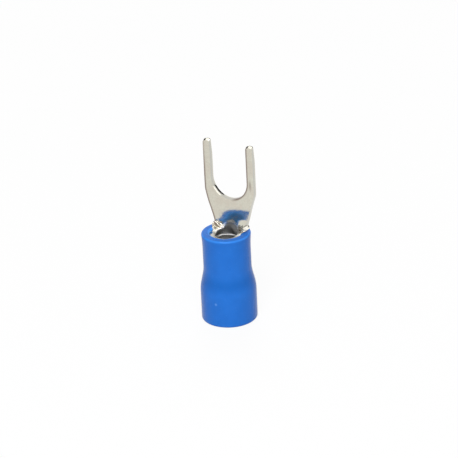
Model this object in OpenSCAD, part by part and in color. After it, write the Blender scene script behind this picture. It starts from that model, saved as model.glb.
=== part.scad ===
// Fork terminal for a screw stud: a fork stamped from tinned copper sheet, with its lower end
// rolled into a wire barrel, and a flared insulating sleeve pressed over that barrel.
// It stands on the sleeve's wire entry. Z runs up the barrel, X runs across the fork,
// and the open side of the neck faces -Y. All sizes are in millimetres.

/* [Sheet] */
// Thickness of the sheet
sheet_t = 0.55; // [0.45:0.05:0.7]

/* [Wire barrel] */
// Bore for the stripped wire
bore_d = 2.3; // [2.1:0.05:2.6]
// Length of the barrel
barrel_len = 5.15; // [4.2:0.05:6.5]
// Chamfer at the edge of the bore where the wire enters
wire_chamfer = 0.12; // [0.05:0.01:0.2]
// Chamfer at the edge of the bore at the barrel's mouth
mouth_chamfer = 0.08; // [0.04:0.01:0.12]
// Number of grip grooves round the bore
groove_count = 3; // [1:1:3]
// Depth of a grip groove
groove_depth = 0.1; // [0.06:0.01:0.2]
// Width of a grip groove
groove_w = 0.22; // [0.16:0.02:0.4]
// From the barrel's mouth to the middle of the first groove
groove_inset = 0.44; // [0.34:0.02:0.7]
// Spacing of the grip grooves
groove_pitch = 1.4; // [1:0.05:1.6]
// Width of the groove along the brazed seam
seam_w = 0.14; // [0.06:0.01:0.24]

/* [Neck] */
// Width of the neck at its notch
neck_w = 3.7; // [3.3:0.1:4]
// Fillet where the neck's edges leave the barrel's mouth
neck_fillet = 0.35; // [0.1:0.05:0.5]
// How far the cheeks below the notch stand out past it
cheek_w = 0.25; // [0:0.05:0.3]
// Height over which the cheeks run out into the notch
cheek_h = 0.3; // [0.2:0.05:0.4]
// Height of the notch over the sleeve's rim
notch_h = 0.55; // [0.45:0.05:0.75]
// Height over the sleeve's rim of the fold at which the curled sheet opens out
fold_h = 0.2; // [0.18:0.02:0.36]
// Half of the fold's height on the back of the sheet
fold_back = 0.22; // [0.16:0.01:0.22]
// Half of the fold's height on the front of the sheet
fold_front = 0.38; // [0.26:0.01:0.44]
// How far the fold in front drops for each millimetre from the notch towards the middle
fold_drop = 0.15; // [0:0.05:0.3]
// Share of the curl that fades out slowly up the tongue
fade_share = 0.1; // [0:0.02:0.16]
// Height over the sleeve's rim at which the tongue is flat
fade_h = 1.35; // [1.05:0.05:1.75]
// Half width of the scoop in which the bore runs out up the neck
scoop_w = 1.1; // [0.8:0.05:1.3]
// How far the scoop reaches up past the fold
scoop_h = 0.5; // [0.3:0.05:0.6]
// How much longer the fold is in the scoop
scoop_soft = 0.25; // [0.1:0.05:0.35]
// From the barrel's axis to the front face of the tongue
tongue_offset = 1.04; // [0.94:0.02:1.12]

/* [Fork] */
// Width of the slot that takes the stud
slot_w = 4.3; // [3.2:0.1:5.3]
// Depth of the slot from the prong tips to its round bottom
slot_depth = 6.4; // [5:0.1:8]
// From the sleeve's rim to the bottom of the slot
web_h = 3.3; // [3.05:0.05:4.65]
// Width of each prong
prong_w = 0.78; // [0.6:0.02:1.4]
// Height over the sleeve's rim at which the tongue starts to widen
flank_h = 0.45; // [0.35:0.05:1.15]
// Height of the shoulders over the bottom of the slot
shoulder_h = 0.75; // [0.4:0.05:1.6]
// Length over which the corners of the flanks are softened
flank_soft = 0.4; // [0.1:0.05:0.8]
// Corner radius of the prong tips
tip_r = 0.2; // [0.05:0.01:0.28]
// Chamfer on the front edge of the prong tips
tip_chamfer = 0.2; // [0.05:0.01:0.3]
// How much thinner the prongs are at their tips
tip_thin = 0.2; // [0:0.01:0.25]
// Length over which the backs of the prongs thin out
tip_len = 1.8; // [0.6:0.1:3]

/* [Sleeve] */
// Bore for the wire's insulation
entry_d = 4.3; // [3.8:0.05:4.8]
// Depth from the wire entry to the barrel
entry_depth = 4.4; // [4:0.1:6]
// Length of the cone between the entry bore and the barrel
cone_len = 0.65; // [0.4:0.05:1.2]
// Wall round the entry bore
bell_wall = 0.8; // [0.6:0.05:1.1]
// Straight length of the wide end
bell_len = 3.25; // [2:0.05:3.8]
// Length of the sweep from the wide end to the grip
sweep_len = 2.8; // [1.5:0.1:4]
// Wall round the barrel
grip_wall = 0.82; // [0.7:0.02:1.1]
// Clearance between barrel and sleeve
grip_gap = 0.01; // [0.01:0.01:0.05]
// Height of the sleeve's rim over the barrel's mouth
rim_stand = 0.3; // [0.24:0.02:0.5]
// How far the rim flares out
rim_flare = 0.1; // [0:0.01:0.2]
// Height over which the rim flares
rim_flare_h = 1.1; // [0.6:0.05:1.5]
// Radius on the outer edge of the rim
rim_edge_r = 0.2; // [0.05:0.01:0.3]
// Radius on the inner edge of the rim
rim_lip_r = 0.16; // [0.05:0.01:0.3]
// Radius on the outer edge of the wire entry
foot_edge_r = 0.25; // [0.05:0.01:0.35]
// Radius on the inner edge of the wire entry
foot_lip_r = 0.14; // [0.05:0.01:0.25]

/* [Hidden] */
$fn = 96;
copper_tin = [0.80, 0.79, 0.74];
blue_vinyl = [0.18, 0.44, 0.81];
cut_over = 1;

// Radii of the barrel and of the sleeve's walls
bore_r = bore_d / 2;
barrel_r = bore_r + sheet_t;
middle_r = bore_r + sheet_t / 2;
grip_bore_r = barrel_r + grip_gap;
grip_r = grip_bore_r + grip_wall;
entry_r = entry_d / 2;
bell_r = entry_r + bell_wall;
rim_r = grip_r + rim_flare;

// Heights over the wire entry
mouth_z = entry_depth + barrel_len;
rim_z = mouth_z + rim_stand;
fold_z = rim_z + fold_h;
fade_z = rim_z + fade_h;
notch_z = rim_z + notch_h;
flank_z = rim_z + flank_h;
slot_z = rim_z + web_h;
slot_middle_z = slot_z + slot_w / 2;
shoulder_z = slot_z + shoulder_h;
tip_z = slot_z + slot_depth;

// Half widths of the tongue
fork_half = slot_w / 2 + prong_w;
neck_half = neck_w / 2;

// The neck is sunk this far into the barrel and the tongue, and lies this far inside their faces
root = 0.3;
skin = 0.015;

// The sheet counts as flat from this share of the way on
flat_enough = 0.999;

// Share of a grip groove's width that its ledge takes
ledge_share = 0.2;

fillet_steps = 6;
fold_steps = 14;
fade_steps = 7;
across_steps = 32;
edge_steps = 8;
sweep_steps = 20;
flank_steps = 18;

function unit(v) = v / norm(v);
function turned(v, a) = [v[0] * cos(a) - v[1] * sin(a), v[0] * sin(a) + v[1] * cos(a)];

// The arc that rounds corner b of the path a, b, c
function rounded(a, b, c, r) =
    let (
        back = unit(a - b),
        ahead = unit(c - b),
        half = acos(back * ahead) / 2,
        middle = b + unit(back + ahead) * r / sin(half),
        start = b + back * r / tan(half) - middle,
        turn = (180 - 2 * half) * sign(cross(ahead, back))
    )
    [for (i = [0:edge_steps]) middle + turned(start, turn * i / edge_steps)];

// Rises from 0 to 1 as s does, level at both ends
function eased(s) = s <= 0 ? 0 : s >= 1 ? 1 : s * s * (3 - 2 * s);

// A straight rise that starts at 0 and is softened over flank_soft
function ramp(s) = (s + sqrt(s * s + flank_soft * flank_soft / 4)) / 2;

// Half width of the tongue's outline at height z, with the cheeks below the notch
function outline_half(z) =
    let (slope = (fork_half - neck_half) / (shoulder_z - flank_z))
    neck_half + slope * (ramp(z - flank_z) - ramp(z - shoulder_z)) + cheek_w * eased((notch_z - z) / cheek_h);

// Extra half width of the neck in its fillet over the barrel's mouth
function fillet_half(z) =
    let (s = max(0, neck_fillet - max(0, z - mouth_z)))
    neck_fillet - sqrt(neck_fillet * neck_fillet - s * s);

// Share of the way from the rolled barrel to the flat tongue, from the back of the sheet to its front
function flat_share(z, across, front) =
    let (
        scoop = 1 - eased(across / scoop_w),
        drop = fold_drop * max(0, neck_half - across) - scoop_h * scoop,
        half = fold_back + front * (fold_front - fold_back + scoop_soft * scoop),
        fade = fade_share * (1 - eased((z - fold_z) / (fade_z - fold_z)))
    )
    eased((z - fold_z + front * drop) / (2 * half) + 0.5) * (1 - fade);

// A point of the sheet: a runs across its width, and lift stands out from its middle
function sheet_point(z, a, lift) =
    let (
        flat = flat_share(z, abs(a), 0.5 - lift / sheet_t),
        depth = middle_r + (tongue_offset - bore_r) * flat,
        r = middle_r / (1 - min(flat, flat_enough)),
        angle = a / r * 180 / PI
    )
    flat > flat_enough
        ? [a, depth + lift, z]
        : [sin(angle) * (r + lift), depth - r + cos(angle) * (r + lift), z];

// One closed section of the neck: its front face from left to right, then its back face
function neck_section(z) =
    let (
        half = outline_half(z) + fillet_half(z) - skin,
        lift = sheet_t / 2 - skin
    )
    concat(
        [for (i = [0:across_steps]) sheet_point(z, half * (2 * i / across_steps - 1), -lift)],
        [for (i = [across_steps:-1:0]) sheet_point(z, half * (2 * i / across_steps - 1), lift)]
    );

fillet_z = mouth_z + neck_fillet;
fold_top_z = fold_z + fold_front + scoop_soft;
neck_heights = concat(
    [mouth_z - root],
    [for (i = [0:fillet_steps - 1]) mouth_z + neck_fillet * (1 - cos(90 * i / fillet_steps))],
    [for (i = [0:fold_steps]) fillet_z + (fold_top_z - fillet_z) * i / fold_steps],
    [for (i = [1:fade_steps]) fold_top_z + (fade_z - fold_top_z) * i / fade_steps],
    [fade_z + root]
);

// The wire barrel: a rolled tube with chamfered ends, grip grooves and a brazed seam
module barrel() {
    difference() {
        translate([0, 0, entry_depth])
            cylinder(r = barrel_r, h = barrel_len);
        translate([0, 0, entry_depth - cut_over])
            cylinder(r = bore_r, h = barrel_len + 2 * cut_over);
        translate([0, 0, entry_depth - wire_chamfer])
            cylinder(r1 = bore_r + 2 * wire_chamfer, r2 = bore_r, h = 2 * wire_chamfer);
        translate([0, 0, mouth_z - mouth_chamfer])
            cylinder(r1 = bore_r, r2 = bore_r + 2 * mouth_chamfer, h = 2 * mouth_chamfer);
        for (i = [0:groove_count - 1])
            translate([0, 0, mouth_z - groove_inset - i * groove_pitch])
                grip_groove();
        translate([0, -barrel_r, entry_depth - cut_over])
            rotate(45)
                translate([-seam_w / 2, -seam_w / 2, 0])
                    cube([seam_w, seam_w, barrel_len + 2 * cut_over]);
    }
}

// A ring cut into the bore's wall, with a ledge on the side towards the wire
module grip_groove() {
    rotate_extrude()
        polygon([
            [bore_r - groove_depth, -groove_w / 2],
            [bore_r, -groove_w / 2],
            [bore_r + groove_depth, groove_w * (ledge_share - 0.5)],
            [bore_r, groove_w / 2],
            [bore_r - groove_depth, groove_w / 2]
        ]);
}

// The neck: the curled wall of the barrel folds open into the flat tongue, and the bore runs out in a scoop
module neck() {
    rows = len(neck_heights);
    ring = 2 * (across_steps + 1);
    function at(row, i) = row * ring + i % ring;
    function cap(row) =
        [for (i = [0:across_steps - 1])
            [at(row, i), at(row, i + 1), at(row, ring - 2 - i), at(row, ring - 1 - i)]];
    walls = [
        for (row = [0:rows - 2])
            for (i = [0:ring - 1])
                each [
                    [at(row, i), at(row + 1, i), at(row + 1, i + 1)],
                    [at(row, i), at(row + 1, i + 1), at(row, i + 1)]
                ]
    ];
    top = [for (face = cap(rows - 1)) [face[3], face[2], face[1], face[0]]];
    polyhedron(
        points = [for (z = neck_heights) each neck_section(z)],
        faces = concat(walls, cap(0), top)
    );
}

// The fork as seen from the front, without the round bottom of its slot
module fork_outline() {
    flank_top = shoulder_z + 2 * flank_soft;
    flank = [
        for (i = [0:flank_steps])
            let (z = fade_z + (flank_top - fade_z) * i / flank_steps)
            [outline_half(z), z]
    ];
    outer_tip = [fork_half, tip_z];
    inner_tip = [slot_w / 2, tip_z];
    slot_corner = [slot_w / 2, slot_middle_z];
    side = concat(
        flank,
        rounded([fork_half, flank_top], outer_tip, inner_tip, tip_r),
        rounded(outer_tip, inner_tip, slot_corner, tip_r),
        [slot_corner]
    );
    last = len(side) - 1;
    polygon(concat(side, [for (i = [last:-1:0]) [-side[i][0], side[i][1]]]));
}

// The fork as seen from the side, with its chamfered and thinned tips
module fork_profile() {
    front = tongue_offset;
    back = tongue_offset + sheet_t;
    polygon([
        [front, fade_z],
        [back, fade_z],
        [back, tip_z - tip_len],
        [back - tip_thin, tip_z],
        [front + tip_chamfer, tip_z],
        [front, tip_z - tip_chamfer]
    ]);
}

// The flat tongue and its two prongs
module fork() {
    intersection() {
        translate([0, tongue_offset + sheet_t, 0])
            rotate([90, 0, 0])
                linear_extrude(height = sheet_t)
                    difference() {
                        fork_outline();
                        translate([0, slot_middle_z])
                            circle(d = slot_w);
                    }
        rotate([90, 0, 90])
            linear_extrude(height = 2 * fork_half + 2 * cut_over, center = true)
                fork_profile();
    }
}

module terminal() {
    color(copper_tin) {
        barrel();
        neck();
        fork();
    }
}

// Outer radius of the sleeve along the sweep, for s from 0 at the wide end to 1 at the grip
function sweep_r(s) = grip_r + (bell_r - grip_r) * (1 + cos(180 * s)) / 2;

module sleeve() {
    entry_inner = [entry_r, 0];
    entry_outer = [bell_r, 0];
    bell_top = [bell_r, bell_len];
    flare_start = [grip_r, rim_z - rim_flare_h];
    rim_outer = [rim_r, rim_z];
    rim_inner = [grip_bore_r, rim_z];
    seat = [grip_bore_r, entry_depth];
    cone_foot = [entry_r, entry_depth - cone_len];
    sweep = [for (i = [0:sweep_steps]) [sweep_r(i / sweep_steps), bell_len + sweep_len * i / sweep_steps]];
    color(blue_vinyl)
        rotate_extrude()
            polygon(concat(
                rounded(cone_foot, entry_inner, entry_outer, foot_lip_r),
                rounded(entry_inner, entry_outer, bell_top, foot_edge_r),
                sweep,
                [flare_start],
                rounded(flare_start, rim_outer, rim_inner, rim_edge_r),
                rounded(rim_outer, rim_inner, seat, rim_lip_r),
                [seat, cone_foot]
            ));
}

terminal();
sleeve();
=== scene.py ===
from math import cos, hypot, pi, radians, sin, sqrt

import bmesh
import bpy
from mathutils import Matrix, Vector


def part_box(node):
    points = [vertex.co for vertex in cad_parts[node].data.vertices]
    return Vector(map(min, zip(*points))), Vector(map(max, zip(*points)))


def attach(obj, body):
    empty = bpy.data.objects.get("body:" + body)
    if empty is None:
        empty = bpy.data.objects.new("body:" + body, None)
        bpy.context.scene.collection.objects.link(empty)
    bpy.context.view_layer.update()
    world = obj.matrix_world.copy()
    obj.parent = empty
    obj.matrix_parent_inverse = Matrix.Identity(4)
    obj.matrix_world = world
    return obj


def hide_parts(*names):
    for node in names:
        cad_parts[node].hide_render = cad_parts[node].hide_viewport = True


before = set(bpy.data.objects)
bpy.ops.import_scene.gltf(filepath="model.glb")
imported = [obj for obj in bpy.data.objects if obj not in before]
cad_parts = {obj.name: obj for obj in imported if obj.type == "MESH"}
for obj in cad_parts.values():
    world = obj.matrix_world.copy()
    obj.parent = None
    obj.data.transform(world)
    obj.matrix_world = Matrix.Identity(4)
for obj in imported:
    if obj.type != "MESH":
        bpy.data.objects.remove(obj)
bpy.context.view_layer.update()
scene = bpy.context.scene
scene.view_settings.view_transform = "Standard"
mm = 0.001
print("frame loaded with", ", ".join(sorted(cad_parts)))


# Camera, at the height and turn that the part was photographed from
shot = {
    "azimuth": 31.1,  # degrees round from the front of the tongue
    "elevation": 25.1,
    "roll": 2.75,  # the part leans to the left
    "distance": 350 * mm,
    "imageSide": 458,  # pixels
    "pixelsPerMm": 9.578,
    "aimHeight": 9.8 * mm,
    "aimPixel": (225.9, 232.0),  # where the point of the axis at aimHeight falls
    "sensor": 36.0,
    "clipStart": 10 * mm,
}


def placeCamera(s):
    turn, tilt, roll = (radians(s[key]) for key in ("azimuth", "elevation", "roll"))
    back = Vector((sin(turn) * cos(tilt), -cos(turn) * cos(tilt), sin(tilt)))
    level = Vector((cos(turn), sin(turn), 0))
    rise = back.cross(level)
    right = level * cos(roll) - rise * sin(roll)
    up = level * sin(roll) + rise * cos(roll)
    pixel = mm / s["pixelsPerMm"]
    offX, offY = (s["imageSide"] / 2 - p for p in s["aimPixel"])
    centre = Vector((0, 0, s["aimHeight"])) + (right * offX - up * offY) * pixel
    lens = bpy.data.cameras.new("camera")
    lens.sensor_width = s["sensor"]
    lens.lens = s["sensor"] * s["distance"] / (s["imageSide"] * pixel)
    lens.clip_start = s["clipStart"]
    camera = bpy.data.objects.new("camera", lens)
    camera.matrix_world = Matrix((right, up, back)).transposed().to_4x4()
    camera.location = centre + back * s["distance"]
    scene.collection.objects.link(camera)
    scene.camera = camera


placeCamera(shot)
print("camera placed")


def nodeMaker(tree):  # returns a short way to add a node with its settings and inputs
    def add(kind, settings=None, **inputs):
        node = tree.nodes.new(kind)
        for key, value in (settings or {}).items():
            setattr(node, key, value)
        for key, value in inputs.items():
            numbered = key[0] == "i" and key[1:].isdigit()
            socket = node.inputs[int(key[1:]) if numbered else key]
            if isinstance(value, bpy.types.NodeSocket):
                tree.links.new(value, socket)
            else:
                socket.default_value = value
        return node
    return add


def noise(add, place, scale, detail):
    return add("ShaderNodeTexNoise", Vector=place, Scale=scale, Detail=detail).outputs["Fac"]


def ramp(add, value, low, high, start=0.0, end=1.0, kind="LINEAR"):  # start at low, end at high
    node = add("ShaderNodeMapRange", {"interpolation_type": kind},
               i0=value, i1=low, i2=high, i3=start, i4=end)
    return node.outputs[0]


def blend(add, share, under, over):  # one colour over another
    return add("ShaderNodeMix", {"data_type": "RGBA"}, i0=share, i6=under, i7=over).outputs[2]


def between(add, share, low, high):  # one number turning into another
    return add("ShaderNodeMix", {"data_type": "FLOAT"}, i0=share, i2=low, i3=high).outputs[0]


def maths(add, operation, first, second=0.0):
    return add("ShaderNodeMath", {"operation": operation}, i0=first, i1=second).outputs[0]


def vectorMaths(add, operation, first, second=(0, 0, 0)):
    node = add("ShaderNodeVectorMath", {"operation": operation}, i0=first, i1=second)
    return node.outputs["Value" if operation in ("LENGTH", "DISTANCE") else "Vector"]


def painted(add, name):  # a value that the points of the mesh carry
    return add("ShaderNodeAttribute", {"attribute_name": name}).outputs["Fac"]


def axisPlace(add):  # the place on the part, its distance from the axis and its height
    place = add("ShaderNodeTexCoord").outputs["Object"]
    away = vectorMaths(add, "LENGTH", vectorMaths(add, "MULTIPLY", place, (1, 1, 0)))
    return place, away, add("ShaderNodeSeparateXYZ", i0=place).outputs["Z"]


def newMaterial(name):
    material = bpy.data.materials.new(name)
    material.use_nodes = True
    tree = material.node_tree
    return material, tree, nodeMaker(tree), tree.nodes["Principled BSDF"]


def wireShader(tree, shader, colour, gloss, bump):
    tree.links.new(colour, shader.inputs["Base Color"])
    tree.links.new(gloss, shader.inputs["Roughness"])
    tree.links.new(bump.outputs[0], shader.inputs["Normal"])


tin = {
    "pale": (0.66, 0.65, 0.555, 1),
    "dull": (0.58, 0.565, 0.48, 1),
    "warm": (0.63, 0.585, 0.50, 1),
    "roughness": (0.11, 0.18),
    "glossRange": (0.3, 0.7),  # what part of the grain's noise the roughness follows
    "blotch": (900, 3.0),  # large colour patches: waves per metre and detail
    "blotchRange": (0.35, 0.65),
    "grain": (5200, 4.0),
    "grainRange": (0.45, 0.8),
    "peel": (3600, 2.0),  # small unevenness of the plate
    "peelHeight": 3.4e-6,
    # painted light: the tin inside the bore is lighter and more neutral, lifting its shade
    "bore": (0.74, 0.74, 0.735, 1),
    "boreR": (1.45 * mm, 1.2 * mm),  # the bore's colour fades in between these radii and heights
    "boreTop": (10.7 * mm, 10.3 * mm),
    "boreRoughness": 0.28,
    "worn": (0.18, 0.12, 0.10, 1),  # dark copper-brown for the smudge and the darker left-facing edges, and painted shade in the creases
    "cut": (0.53, 0.525, 0.485, 1),  # sheared walls
    "brush": (2600, 2600, 160),  # waves per metre of the faint lines along the sheet
    "brushDetail": 2.0,
    "brushRange": (0.35, 0.7),
    "brushDepth": 0.16,
    "smudge": (2.56 * mm, 1.1 * mm, 15.1 * mm),  # a dull streak on the right prong
    "smudgeSize": (0.19 * mm, 0.6 * mm, 0.8 * mm),
    "smudgeFade": (1.0, 0.2),  # from its rim to its full tone, as shares of its size
    "smudgeTone": 0.5,
}


def makeTin(t):
    material, tree, add, shader = newMaterial("tinPlate")
    place, away, height = axisPlace(add)
    grain = noise(add, place, *t["grain"])
    blotch = ramp(add, noise(add, place, *t["blotch"]), *t["blotchRange"])
    colour = blend(add, blotch, t["pale"], t["warm"])
    colour = blend(add, ramp(add, grain, *t["grainRange"]), colour, t["dull"])
    # painted light: a lighter tin inside the bore
    inBore = maths(add, "MULTIPLY", ramp(add, away, *t["boreR"]), ramp(add, height, *t["boreTop"]))
    colour = blend(add, inBore, colour, t["bore"])
    brushed = noise(add, vectorMaths(add, "MULTIPLY", place, t["brush"]), 1.0, t["brushDetail"])
    colour = blend(add, ramp(add, brushed, *t["brushRange"], end=t["brushDepth"]), colour, t["warm"])
    colour = blend(add, painted(add, "cut"), colour, t["cut"])
    off = vectorMaths(add, "DIVIDE", vectorMaths(add, "SUBTRACT", place, t["smudge"]), t["smudgeSize"])
    rubbed = ramp(add, vectorMaths(add, "LENGTH", off), *t["smudgeFade"], end=t["smudgeTone"])
    colour = blend(add, rubbed, colour, t["worn"])
    # the darker left-facing edges, and painted shade in the creases
    colour = blend(add, painted(add, "worn"), colour, t["worn"])
    gloss = between(add, inBore, ramp(add, grain, *t["glossRange"], *t["roughness"]), t["boreRoughness"])
    bump = add("ShaderNodeBump", Height=noise(add, place, *t["peel"]), Distance=t["peelHeight"])
    shader.inputs["Metallic"].default_value = 1.0
    wireShader(tree, shader, colour, gloss, bump)
    return material


vinyl = {
    "blue": (0.019, 0.172, 0.645, 1),
    "deep": (0.016, 0.156, 0.60, 1),
    "roughness": (0.20, 0.28),
    "specular": 0.15,
    "cloud": (700, 3.0),  # slow changes of the blue: waves per metre and detail
    "peel": (5000, 3.0),
    "peelHeight": 1.2e-6,
    "noiseRange": (0.3, 0.7),  # what part of both noises is used
    "shoulderShade": (0.010, 0.132, 0.52, 1),  # painted shade: a deeper blue round the bell's shoulder, where its reflection is darker
    "shadeMiddle": 4.75 * mm,
    "shadeHalf": 1.3 * mm,
    "thin": (0.05, 0.31, 0.95, 1),  # painted highlight: paler along the rim's outer edge
    "rimLightR": (2.4 * mm, 2.52 * mm),
    "rimLightZ": (9.62 * mm, 9.76 * mm),
    "rimLightShare": 0.5,
    "innerLightR": (1.95 * mm, 1.8 * mm),  # and painted light over all of the wall inside the rim, lifting its shade
    "speck": (0.129 * mm, -2.947 * mm, 2.67 * mm),  # a pale speck on the bell
    "speckSize": 0.2 * mm,
    "speckColour": (0.12, 0.33, 0.80, 1),
}


def makeVinyl(v):
    material, tree, add, shader = newMaterial("blueVinyl")
    place, away, height = axisPlace(add)
    peel = noise(add, place, *v["peel"])
    cloud = ramp(add, noise(add, place, *v["cloud"]), *v["noiseRange"])
    colour = blend(add, cloud, v["blue"], v["deep"])
    # painted shade: a deeper blue band round the bell's shoulder
    off = maths(add, "ABSOLUTE", maths(add, "SUBTRACT", height, v["shadeMiddle"]))
    colour = blend(add, ramp(add, off, v["shadeHalf"], 0.0, kind="SMOOTHSTEP"), colour, v["shoulderShade"])
    # painted highlight along the rim's outer edge, and painted light on the wall inside the rim
    outer = ramp(add, away, *v["rimLightR"], end=v["rimLightShare"])
    rimHighlight = maths(add, "MULTIPLY", outer, ramp(add, height, *v["rimLightZ"]))
    paintedLight = maths(add, "MAXIMUM", rimHighlight, ramp(add, away, *v["innerLightR"]))
    colour = blend(add, paintedLight, colour, v["thin"])
    toSpeck = vectorMaths(add, "DISTANCE", place, v["speck"])
    colour = blend(add, ramp(add, toSpeck, v["speckSize"], 0.0), colour, v["speckColour"])
    gloss = ramp(add, peel, *v["noiseRange"], *v["roughness"])
    bump = add("ShaderNodeBump", Height=peel, Distance=v["peelHeight"])
    shader.inputs["Specular IOR Level"].default_value = v["specular"]
    wireShader(tree, shader, colour, gloss, bump)
    return material


tinPlate = makeTin(tin)
blueVinyl = makeVinyl(vinyl)
print("materials made")


def finishPiece(bm, name, material, node):  # a bmesh in millimetres becomes the piece for a node
    bmesh.ops.scale(bm, vec=(mm, mm, mm), verts=bm.verts)
    mesh = bpy.data.meshes.new(name)
    bm.to_mesh(mesh)
    bm.free()
    mesh.shade_smooth()
    mesh.materials.append(material)
    piece = bpy.data.objects.new(name, mesh)
    scene.collection.objects.link(piece)
    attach(piece, "root")
    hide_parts(node)
    print(name, "made with", len(mesh.polygons), "faces")


# Sleeve: one profile, turned round the axis. Sizes in millimetres.
sleeve = {
    "entryR": 2.15,  # bore for the wire's insulation
    "bellR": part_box("sleeve")[1].x / mm,
    "bellLen": 3.25,
    "sweepLen": 2.8,  # from the wide end to the grip
    "gripR": 2.53,
    "rimR": 2.63,
    "rim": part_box("sleeve")[1].z / mm,
    "flareLen": 1.1,
    "flareSoft": 0.5,  # share of that length by which its start is softened
    "gripBoreR": 1.71,
    "seat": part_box("terminal")[0].z / mm,  # where the bore meets the barrel's end
    "coneLen": 0.65,
    "footEdge": 0.25,  # edge radii at the wire's end
    "footLip": 0.14,
    "rimEdge": 0.24,
    "rimLip": 0.16,
    "edgeSegments": 8,
    "sweepSteps": 24,
    "turns": 192,
}


def buildSleeve(s):
    bm = bmesh.new()

    def point(r, z):
        return bm.verts.new((r, 0, z))

    def sweep(i):
        share = i / s["sweepSteps"]
        r = s["gripR"] + (s["bellR"] - s["gripR"]) * (1 + cos(pi * share)) / 2
        return point(r, s["bellLen"] + s["sweepLen"] * share)

    def soften(corner, offset):
        bmesh.ops.bevel(bm, geom=[corner], offset=offset, offset_type="OFFSET", affect="VERTICES",
                        segments=s["edgeSegments"], profile=0.5, material=-1)

    entryInner = point(s["entryR"], 0)
    entryOuter = point(s["bellR"], 0)
    wall = [sweep(i) for i in range(s["sweepSteps"] + 1)]
    flare = point(s["gripR"], s["rim"] - s["flareLen"])
    rimOuter = point(s["rimR"], s["rim"])
    rimInner = point(s["gripBoreR"], s["rim"])
    seat = point(s["gripBoreR"], s["seat"])
    coneFoot = point(s["entryR"], s["seat"] - s["coneLen"])
    bm.faces.new([entryInner, entryOuter, *wall, flare, rimOuter, rimInner, seat, coneFoot])
    soften(entryOuter, s["footEdge"])
    soften(entryInner, s["footLip"])
    soften(rimOuter, s["rimEdge"])
    soften(rimInner, s["rimLip"])
    soften(flare, s["flareLen"] * s["flareSoft"])
    bmesh.ops.delete(bm, geom=bm.faces[:], context="FACES_ONLY")
    bmesh.ops.spin(bm, geom=bm.verts[:] + bm.edges[:], cent=(0, 0, 0), axis=(0, 0, 1), dvec=(0, 0, 0),
                   angle=2 * pi, steps=s["turns"], use_merge=True, use_duplicate=False)
    bmesh.ops.recalc_face_normals(bm, faces=bm.faces)
    finishPiece(bm, "vinylSleeve", blueVinyl, "sleeve")


buildSleeve(sleeve)


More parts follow.
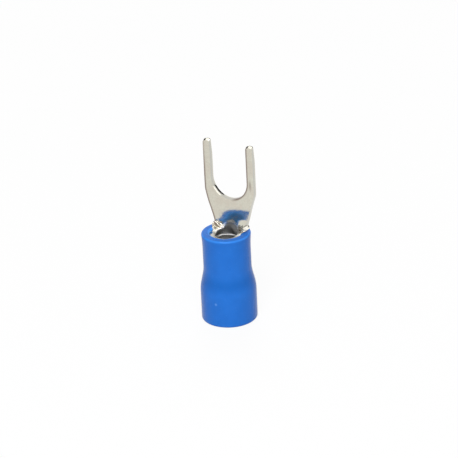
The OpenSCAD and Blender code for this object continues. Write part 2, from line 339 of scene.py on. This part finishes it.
# Terminal: a blank is stamped flat, with X across it and Z along it, and its tail is rolled into the barrel
terminal = {
    "sheet": 0.55,
    "bore": 2.3,
    "foot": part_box("terminal")[0].z / mm,  # lower end of the barrel
    "mouth": 9.55,  # upper end of the barrel
    "groove": 0.1,  # depth of the grip grooves in the bore
    "grooveWidth": 0.22,
    "grooveLedge": 0.2,  # share of the width that the steep side takes
    "grooves": (9.11, 7.71, 6.31),  # heights of their middles
    "seam": 0.1,  # depth of the groove along the brazed seam
    "neckWidth": 3.7,
    "neckFillet": 0.35,
    "wing": 0.25,  # how far the cheeks of the neck stand out past its notch
    "wingLen": 0.3,
    "wingStart": 0.3,  # share of that length by which they start above the flank
    "foldFront": (10.176, 9.925),  # height of the fold at the notch, in front, on the left and the right
    "foldBack": 10.05,
    "foldSlope": -0.005,  # its fall for each mm towards the middle, where it lies a little higher
    "foldHalf": (0.489, 1.133),  # half of its length in front, on the left and the right
    "foldHalfBack": 0.22,
    "foldTail": (0.14, 0.125),  # share of the curl that fades out slowly up the tongue, likewise
    "foldTailTop": 12.058,
    "neckBlend": 1.585,  # width over which the left side turns into the right
    "cheekFrom": 0.5,  # from this far out, the left cheek folds lower and sharper
    "cheekFade": 0.5,
    "cheekDrop": 0.34,
    "cheekSqueeze": 0.48,
    "roundRise": 0.3,  # height above the mouth over which the rolled sides start to open
    "roundFrom": 0.8,
    "roundFade": 1.0,
    "scoopRise": 0.059,  # the bore runs out as a scoop up the middle
    "scoopWidth": 4.96,  # distance from the middle over which its rise fades
    "scoopLip": 0.024,  # a low ridge round the scoop's upper end
    "lipAt": 0.386,  # where the ridge lies on the way from rolled to flat
    "lipHalf": 0.502,
    "bow": 0.1,  # the tongue bulges forward a little above the neck
    "bowMiddle": 12.552,
    "bowHalf": 1.713,
    "pucker": 0.045,  # depth of the cheeks' creases, where the sheet was squeezed
    "puckerPitch": 0.2,
    "puckerTurn": (1.2, 0.4),  # where their waves start, on the left and the right
    "puckerRun": (0.503, -0.864),  # direction from crease to crease, outwards and up
    "puckerFrom": 0.9,  # distance from the middle where they start
    "puckerFade": 0.5,
    "puckerFoot": (9.62, 9.82),  # heights where they are gone and full, at their lower end
    "puckerTop": (10.5, 10.25),  # and at their upper end
    "puckerWander": 1.3,  # so that they are not all alike
    "wanderWaves": (5, 9),  # radians for each mm across and up
    "puckerShade": 0.9,  # how much painted shade one side of each crease gets
    "tongueFace": 1.04,  # from the axis to the front of the tongue
    "flatFrom": 0.9999,  # a sheet that is opened this far counts as flat
    "slotWidth": 4.3,
    "slotBottom": 13.15,
    "prongWidth": 0.78,
    "flank": 10.3,  # where the tongue starts to widen
    "shoulder": 13.9,
    "flankSoft": 0.4,
    "tip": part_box("terminal")[1].z / mm,
    "tipCorner": 0.1,
    "tipCrown": (0.16, 0.06),  # fall of the tips to their left and right corners
    "tipPeak": 0.65,  # share of a prong's width, from its left, where its tip is highest
    "tipChamfer": 0.2,
    "tipThin": 0.2,
    "tipLen": 1.8,
    "tipZone": 0.6,  # length over which the crown is shaped
    "edge": 0.055,  # width of the rolled-over edge of the cut
    "edgeSegments": 3,
    "edgeAngle": 1.0,  # radians that an edge turns by at least to be rolled over
    "punchRoll": (0.045, 0.015),  # how far the punch drew the slot's front edge in, left and right
    "shear": -0.1,  # where the drawn-in part of the wall ends, from the sheet's middle
    "darkEdgeWidth": 0.26,
    "darkEdgeFade": 0.6,  # less of it towards the tip
    "margin": 0.09,  # width of the cells along the cut
    "outerLag": 0.3,  # how far the row at the slot's bottom drops to the outer edge
    "columns": 54,  # across half of the tongue
    "barrelColumns": 26,  # round the rest of half of the barrel
    "barrelSteps": 30,
    "barrelEnds": (0.25, 0.2),  # the even rows stay so far from the foot and the mouth
    "rowGap": 0.06,  # and so far from a groove's own rows
    "neckSteps": 60,
    "neckZone": 0.4,  # height over the fold up to which the rows are close
    "tongueSteps": 24,
    "slotSteps": (26, 16, 9),  # round the slot's bottom, along the prongs and near their tips
}
neckHalf = terminal["neckWidth"] / 2
slotR = terminal["slotWidth"] / 2
forkHalf = slotR + terminal["prongWidth"]
sheetHalf = terminal["sheet"] / 2
middleR = terminal["bore"] / 2 + sheetHalf
slotMiddle = terminal["slotBottom"] + slotR
barrelHalf = pi * middleR  # half of the tail's width
grooveHalf = terminal["grooveWidth"] / 2
grooveRise = terminal["grooveLedge"] * terminal["grooveWidth"]
touching = 1e-4  # points closer than this are one


def eased(s):  # rises from 0 to 1, level at both ends
    s = min(1, max(0, s))
    return s * s * (3 - 2 * s)


def softRamp(s):
    return (s + sqrt(s * s + terminal["flankSoft"] ** 2 / 4)) / 2


def tongueHalf(z):  # half width of the stamped tongue and of the cheeks below it
    slope = (forkHalf - neckHalf) / (terminal["shoulder"] - terminal["flank"])
    cheek = terminal["wing"] * eased((terminal["flank"] - z) / terminal["wingLen"] + terminal["wingStart"])
    return neckHalf + cheek + slope * (softRamp(z - terminal["flank"]) - softRamp(z - terminal["shoulder"]))


# The blank's edges are curves of t: 0 at the barrel's mouth, 1 at the slot's bottom, 2 at the end of its
# round and 3 at the tip
filletEnd = terminal["neckFillet"] / (terminal["slotBottom"] - terminal["mouth"])
outerAtSlot = terminal["slotBottom"] - terminal["outerLag"]


def slotEdge(t, gap):  # the slot's edge, or a line at a gap from it
    r = slotR + gap
    if t <= 1:
        return 0, terminal["mouth"] + (slotMiddle - r - terminal["mouth"]) * t
    if t <= 2:
        turn = (t - 1) * pi / 2
        return r * sin(turn), slotMiddle - r * cos(turn)
    return r, slotMiddle + (terminal["tip"] - slotMiddle) * (t - 2)


def outerEdge(t):
    r = terminal["neckFillet"]
    if t <= filletEnd:
        turn = t / filletEnd * pi / 2
        z = terminal["mouth"] + r * (1 - cos(turn))
        return tongueHalf(z) + r * (1 - sin(turn)), z
    if t <= 1:
        start = terminal["mouth"] + r
        z = start + (outerAtSlot - start) * (t - filletEnd) / (1 - filletEnd)
    elif t <= 2:
        z = outerAtSlot + (slotMiddle - outerAtSlot) * (t - 1)
    else:
        z = slotMiddle + (terminal["tip"] - slotMiddle) * (t - 2)
    return tongueHalf(z), z


def spread(low, high, count):  # count even steps from low, without high
    return [low + (high - low) * i / count for i in range(count)]


def slotRows():
    unit = 1 / (terminal["tip"] - slotMiddle)  # t for each millimetre along a prong
    zone = 3 - terminal["tipZone"] * unit
    last = 3 - terminal["margin"] * unit
    roundSteps, prongSteps, tipSteps = terminal["slotSteps"]
    return spread(1, 2, roundSteps) + spread(2, zone, prongSteps) + spread(zone, last, tipSteps) + [last, 3]


def bladeRows():
    height = terminal["foldBack"] + terminal["neckZone"] - terminal["mouth"]
    neck = height / (terminal["slotBottom"] - terminal["mouth"])
    return spread(0, neck, terminal["neckSteps"]) + spread(neck, 1, terminal["tongueSteps"]) + slotRows()


def barrelRows():
    foot, mouth, margin = terminal["foot"], terminal["mouth"], terminal["margin"]
    steps = (-grooveHalf, grooveRise - grooveHalf, 0, grooveHalf)
    cuts = [z + step for z in terminal["grooves"] for step in steps]
    low, high = terminal["barrelEnds"]
    even = spread(foot + low, mouth - high, terminal["barrelSteps"])
    plain = [z for z in even if all(abs(z - cut) > terminal["rowGap"] for cut in cuts)]
    return sorted(cuts + plain + [foot, foot + margin, mouth - margin, mouth])


def columnShare(column, width):  # the outermost cell keeps its width
    last = terminal["columns"]
    return column / (last - 1) * (1 - terminal["margin"] / width) if column < last else 1


def bladePoint(column, t):
    inner, outer = slotEdge(t, terminal["margin"]), outerEdge(t)
    share = columnShare(column, hypot(outer[0] - inner[0], outer[1] - inner[1]))
    return [a + (b - a) * share for a, b in zip(inner, outer)]


def slotPoint(column, t):
    return slotEdge(t, terminal["margin"] * column)


def tailPoint(column, z):
    start = outerEdge(0)[0]
    if column <= terminal["columns"]:
        return start * columnShare(column, start), z
    return start + (barrelHalf - start) * (column - terminal["columns"]) / terminal["barrelColumns"], z


def stampPatch(bm, columns, rows, where):  # a grid laid out in the blank's plane
    made = bmesh.ops.create_grid(bm, x_segments=columns, y_segments=len(rows) - 1, size=0.5)
    for v in made["verts"]:
        column = round((v.co.x + 0.5) * columns)
        row = round((v.co.y + 0.5) * (len(rows) - 1))
        across, along = where(column, rows[row])
        v.co = (across, -sheetHalf, along)


def tipFall(x):  # how far a tip lies below its peak: its crown and its round corners
    toSide = min(abs(x) - slotR, forkHalf - abs(x))
    r = terminal["tipCorner"]
    short = max(0, r - toSide)
    corner = r - sqrt(max(0, r * r - short * short))
    share = (x + forkHalf if x < 0 else x - slotR) / terminal["prongWidth"]
    peak = terminal["tipPeak"]
    left, right = terminal["tipCrown"]
    if share < peak:
        return corner + left * (1 - share / peak) ** 2
    return corner + right * ((share - peak) / (1 - peak)) ** 2


def shapeTip(v):  # a crown, round corners, a chamfer in front and a thinner back
    x, y, z = v.co
    over = z - terminal["tip"]
    chamfer = terminal["tipChamfer"] * max(0, over / terminal["tipChamfer"] + 1)
    thin = terminal["tipThin"] * max(0, over / terminal["tipLen"] + 1)
    share = y / terminal["sheet"] + 0.5
    v.co.y = (chamfer - sheetHalf) * (1 - share) + (sheetHalf - thin) * share
    v.co.z -= tipFall(x) * eased(over / terminal["tipZone"] + 1)


def rollSlot(v):  # the front half of the slot's wall leans back from the punch
    toEdge = hypot(v.co.x, min(0, v.co.z - slotMiddle)) - slotR
    if toEdge < terminal["margin"]:  # less than one cell from the cut
        left, right = terminal["punchRoll"]
        burnished = max(0, (terminal["shear"] - v.co.y) / (terminal["shear"] + sheetHalf))
        out = (right + (left - right) * eased(0.5 - v.co.x / slotR)) * burnished
        away = Vector((v.co.x, 0, min(0, v.co.z - slotMiddle))).normalized()
        v.co += away * out * (1 - max(0, toEdge) / terminal["margin"])


def cutGrooves(v):  # rings in the bore, each with a ledge on the side towards the wire
    width = terminal["grooveWidth"]
    for z in terminal["grooves"]:
        s = v.co.z - z + grooveHalf  # height over the ledge's edge
        if 0 < s < width:
            v.co.y += terminal["groove"] * min(s / grooveRise, (width - s) / (width - grooveRise))


def unfold(across, lift, z):  # 0 where the sheet is rolled, 1 where it is flat; and the ridge's height
    front = 0.5 - lift / terminal["sheet"]
    toRight = eased(0.5 + across / terminal["neckBlend"])

    def sided(name):
        left, right = terminal[name]
        return left + (right - left) * toRight

    middle = 1 - eased(abs(across) / terminal["scoopWidth"])
    drop = terminal["foldSlope"] * max(0, neckHalf - abs(across)) - terminal["scoopRise"] * middle
    cheek = front * eased((-across - terminal["cheekFrom"]) / terminal["cheekFade"])
    height = terminal["foldBack"] + front * (sided("foldFront") - terminal["foldBack"] - drop)
    height -= terminal["cheekDrop"] * cheek
    half = terminal["foldHalfBack"] * (1 - front) + sided("foldHalf") * front
    half *= 1 - terminal["cheekSqueeze"] * cheek
    opened = (z - height) / (2 * half) + 0.5
    tail = eased((z - terminal["foldBack"]) / (terminal["foldTailTop"] - terminal["foldBack"]))
    flat = eased(opened) * (1 - sided("foldTail") * (1 - tail))
    toLip = abs(opened - terminal["lipAt"]) / terminal["lipHalf"]
    ridge = terminal["scoopLip"] * front * middle * eased(1 - toLip)
    low = eased((terminal["mouth"] + terminal["roundRise"] - z) / terminal["roundRise"])
    rolled = low * eased((abs(across) - terminal["roundFrom"]) / terminal["roundFade"])
    return flat * (1 - rolled), ridge * (1 - rolled)


def pucker(across, lift, z):  # slanting creases of the cheeks: their depth here, and their painted shade
    side = 1 if across > 0 else 0
    low, lowEnd = terminal["puckerFoot"]
    high, highEnd = terminal["puckerTop"]
    there = max(0, -lift / sheetHalf) * eased((abs(across) - terminal["puckerFrom"]) / terminal["puckerFade"])
    there *= eased((z - low) / (lowEnd - low)) * eased((high - z) / (high - highEnd))
    outwards, up = terminal["puckerRun"]
    along = abs(across) * outwards + z * up
    waveAcross, waveUp = terminal["wanderWaves"]
    turn = terminal["puckerTurn"][side] + terminal["puckerWander"] * sin(waveAcross * across + waveUp * z)
    wave = sin(2 * pi * along / terminal["puckerPitch"] + turn)
    return terminal["pucker"] * there * wave, there * max(0, wave)


def rollSheet(v):  # round at the barrel, flat at the tongue
    across, lift, z = v.co
    flat, ridge = unfold(across, lift, z)
    lift += pucker(across, lift, z)[0] - ridge
    depth = middleR + (terminal["tongueFace"] + sheetHalf - middleR) * flat
    depth -= terminal["bow"] * eased(1 - abs(z - terminal["bowMiddle"]) / terminal["bowHalf"])
    if flat > terminal["flatFrom"]:
        v.co.y = depth + lift
        return
    r = middleR / (1 - flat)
    v.co = (sin(across / r) * (r + lift), depth - r + cos(across / r) * (r + lift), z)


def darkEdge(v):  # 1 on the front edges that face left, which are coloured a darker copper-brown
    x, lift, z = v.co
    if lift > 0 or z < terminal["flank"]:
        return 0
    if x < 0:
        fade = 1 - terminal["darkEdgeFade"] * eased((z - slotMiddle) / (terminal["tip"] - slotMiddle))
        return fade * eased(1 - (tongueHalf(z) + x) / terminal["darkEdgeWidth"])
    if z < terminal["slotBottom"] - terminal["darkEdgeWidth"]:
        return 0
    toSlot = hypot(x, min(0, z - slotMiddle)) - slotR
    return eased(2 * x / slotR) * eased(1 - abs(toSlot) / terminal["darkEdgeWidth"])


def stampBlank(bm):  # half of the sheet, given its thickness and rolled edges, then mirrored
    stampPatch(bm, terminal["columns"], bladeRows(), bladePoint)
    stampPatch(bm, 1, slotRows(), slotPoint)
    stampPatch(bm, terminal["columns"] + terminal["barrelColumns"], barrelRows(), tailPoint)
    bmesh.ops.remove_doubles(bm, verts=bm.verts, dist=touching)
    grown = bmesh.ops.extrude_face_region(bm, geom=bm.faces[:])["geom"]
    back = [g for g in grown if isinstance(g, bmesh.types.BMVert)]
    bmesh.ops.translate(bm, vec=(0, terminal["sheet"], 0), verts=back)

    def onPlane(face, x):
        return all(abs(v.co.x - x) < touching for v in face.verts)

    inside = [f for f in bm.faces if onPlane(f, 0) or onPlane(f, barrelHalf)]
    bmesh.ops.delete(bm, geom=inside, context="FACES")
    bmesh.ops.recalc_face_normals(bm, faces=bm.faces)
    rims = [e for e in bm.edges if len(e.link_faces) == 2 and e.calc_face_angle() > terminal["edgeAngle"]]
    bmesh.ops.bevel(bm, geom=rims, offset=terminal["edge"], offset_type="OFFSET", affect="EDGES",
                    segments=terminal["edgeSegments"], profile=0.5, material=-1, clamp_overlap=True)
    bmesh.ops.mirror(bm, geom=bm.verts[:] + bm.edges[:] + bm.faces[:], axis="X", merge_dist=touching)
    bmesh.ops.bisect_plane(bm, geom=bm.verts[:] + bm.edges[:] + bm.faces[:],
                           plane_co=(0, terminal["shear"], 0), plane_no=(0, 1, 0))


def buildTerminal():
    bm = bmesh.new()
    stampBlank(bm)
    print("blank stamped")
    worn = bm.verts.layers.float.new("worn")
    cut = bm.verts.layers.float.new("cut")
    for v in bm.verts:
        # darker left-facing edges, and painted shade on one side of each crease
        v[worn] = max(darkEdge(v), terminal["puckerShade"] * pucker(*v.co)[1])
        v[cut] = 1 if abs(v.co.y) < sheetHalf - terminal["edge"] / 2 else 0
        rollSlot(v)
        if v.co.z > slotMiddle:
            shapeTip(v)
        elif v.co.z < terminal["mouth"] and v.co.y < touching - sheetHalf:  # the bore's wall
            cutGrooves(v)
        if abs(abs(v.co.x) - barrelHalf) < touching:
            v.co.y *= 1 - terminal["seam"] / sheetHalf
    for v in bm.verts:
        rollSheet(v)
    bmesh.ops.remove_doubles(bm, verts=bm.verts, dist=touching)
    bmesh.ops.recalc_face_normals(bm, faces=bm.faces)
    finishPiece(bm, "stampedTerminal", tinPlate, "terminal")


buildTerminal()


# Studio: a pale floor, soft boxes and a white surround
studio = {
    "floorSide": 4.0,
    "floorColour": (0.95, 0.95, 0.95, 1),
    "floorBounce": (0.5, 0.5, 0.5, 1),  # what the floor throws back at the part
    "floorRoughness": 0.9,
    "surround": 0.3,  # light from all sides
    "whiteness": 0.9,  # share of the floor that is plain white to the eye and in reflections
    "aim": (0, 0, 0.01),  # where the boxes point
    "boxes": (  # name, place, side, watts and whether reflections show it
        ("frontBox", (0.27, -0.54, 0.35), 0.5, 3.1, False),
        ("keyBox", (0.16, -0.33, 0.56), 0.3, 1.5, True),
        ("backBox", (-0.25, 0.42, 0.5), 0.4, 1.3, False),
    ),
    "cardFar": 1.2,
    "cardColour": (0.02, 0.02, 0.02, 1),
    "cardRoughness": 0.9,
    "cards": (  # name, bearing and height of its middle in degrees, width and height in metres, glow
        ("frontCard", -59, 13, 2.2, 0.50, 0),
        ("backCard", 68, 25, 1.0, 0.69, 0),
        ("leftCard", 186, 28, 0.8, 0.75, 0),
        ("leftSheet", -138, 51, 0.7, 0.5, 1.8),
        ("rightSheet", 36, 42, 0.8, 0.95, 1.8),
    ),
}


def seenDirectly(add):  # 1 for what the camera sees, itself or in a reflection
    rays = add("ShaderNodeLightPath").outputs
    seen = maths(add, "MAXIMUM", rays["Is Camera Ray"], rays["Is Transmission Ray"])
    return maths(add, "MAXIMUM", seen, rays["Is Glossy Ray"])


def stageSheet(name, width, height, matrix, material):  # a flat sheet that isn't part of the object
    bm = bmesh.new()
    bmesh.ops.create_grid(bm, x_segments=1, y_segments=1, size=0.5)
    bmesh.ops.scale(bm, vec=(width, height, 1), verts=bm.verts)
    bmesh.ops.transform(bm, matrix=matrix, verts=bm.verts)
    mesh = bpy.data.meshes.new(name)
    bm.to_mesh(mesh)
    bm.free()
    mesh.materials.append(material)
    sheet = bpy.data.objects.new(name, mesh)
    scene.collection.objects.link(sheet)
    return sheet


def layFloor(s):
    material, tree, add, shader = newMaterial("paleFloor")
    seen = seenDirectly(add)
    tree.links.new(blend(add, seen, s["floorBounce"], s["floorColour"]), shader.inputs["Base Color"])
    shader.inputs["Roughness"].default_value = s["floorRoughness"]
    shader.inputs["Specular IOR Level"].default_value = 0.0
    glow = add("ShaderNodeEmission").outputs[0]
    white = maths(add, "MULTIPLY", seen, s["whiteness"])
    both = add("ShaderNodeMixShader", i0=white, i1=shader.outputs[0], i2=glow)
    tree.links.new(both.outputs[0], tree.nodes["Material Output"].inputs["Surface"])
    floor = stageSheet("floor", s["floorSide"], s["floorSide"], Matrix.Identity(4), material)


def hangBoxes(s):
    for name, place, side, watts, shown in s["boxes"]:
        light = bpy.data.lights.new(name, "AREA")
        light.size = side
        light.energy = watts
        lamp = bpy.data.objects.new(name, light)
        aim = Vector(s["aim"]) - Vector(place)
        lamp.matrix_world = Matrix.Translation(place) @ aim.to_track_quat("-Z", "Y").to_matrix().to_4x4()
        lamp.visible_glossy = shown
        scene.collection.objects.link(lamp)


def hangCards(s):  # dark and glowing cards that only reflections show
    for name, bearing, rise, width, height, glow in s["cards"]:
        material, _, _, shader = newMaterial(name)
        shader.inputs["Base Color"].default_value = s["cardColour"]
        shader.inputs["Roughness"].default_value = s["cardRoughness"]
        shader.inputs["Emission Color"].default_value = (1, 1, 1, 1)
        shader.inputs["Emission Strength"].default_value = glow
        turn, tilt = radians(bearing), radians(rise)
        away = Vector((cos(turn) * cos(tilt), sin(turn) * cos(tilt), sin(tilt)))
        facing = away.to_track_quat("Z", "Y").to_matrix().to_4x4()
        card = stageSheet(name, width, height, Matrix.Translation(away * s["cardFar"]) @ facing, material)
        card.visible_camera = card.visible_diffuse = card.visible_shadow = False


def lightSurround(s):
    world = bpy.data.worlds.new("surround")
    world.use_nodes = True
    tree = world.node_tree
    add = nodeMaker(tree)
    back = tree.nodes["Background"]
    back.inputs["Color"].default_value = (1, 1, 1, 1)
    tree.links.new(between(add, seenDirectly(add), s["surround"], 1.0), back.inputs["Strength"])
    scene.world = world


layFloor(studio)
hangBoxes(studio)
hangCards(studio)
lightSurround(studio)
print("studio lit")
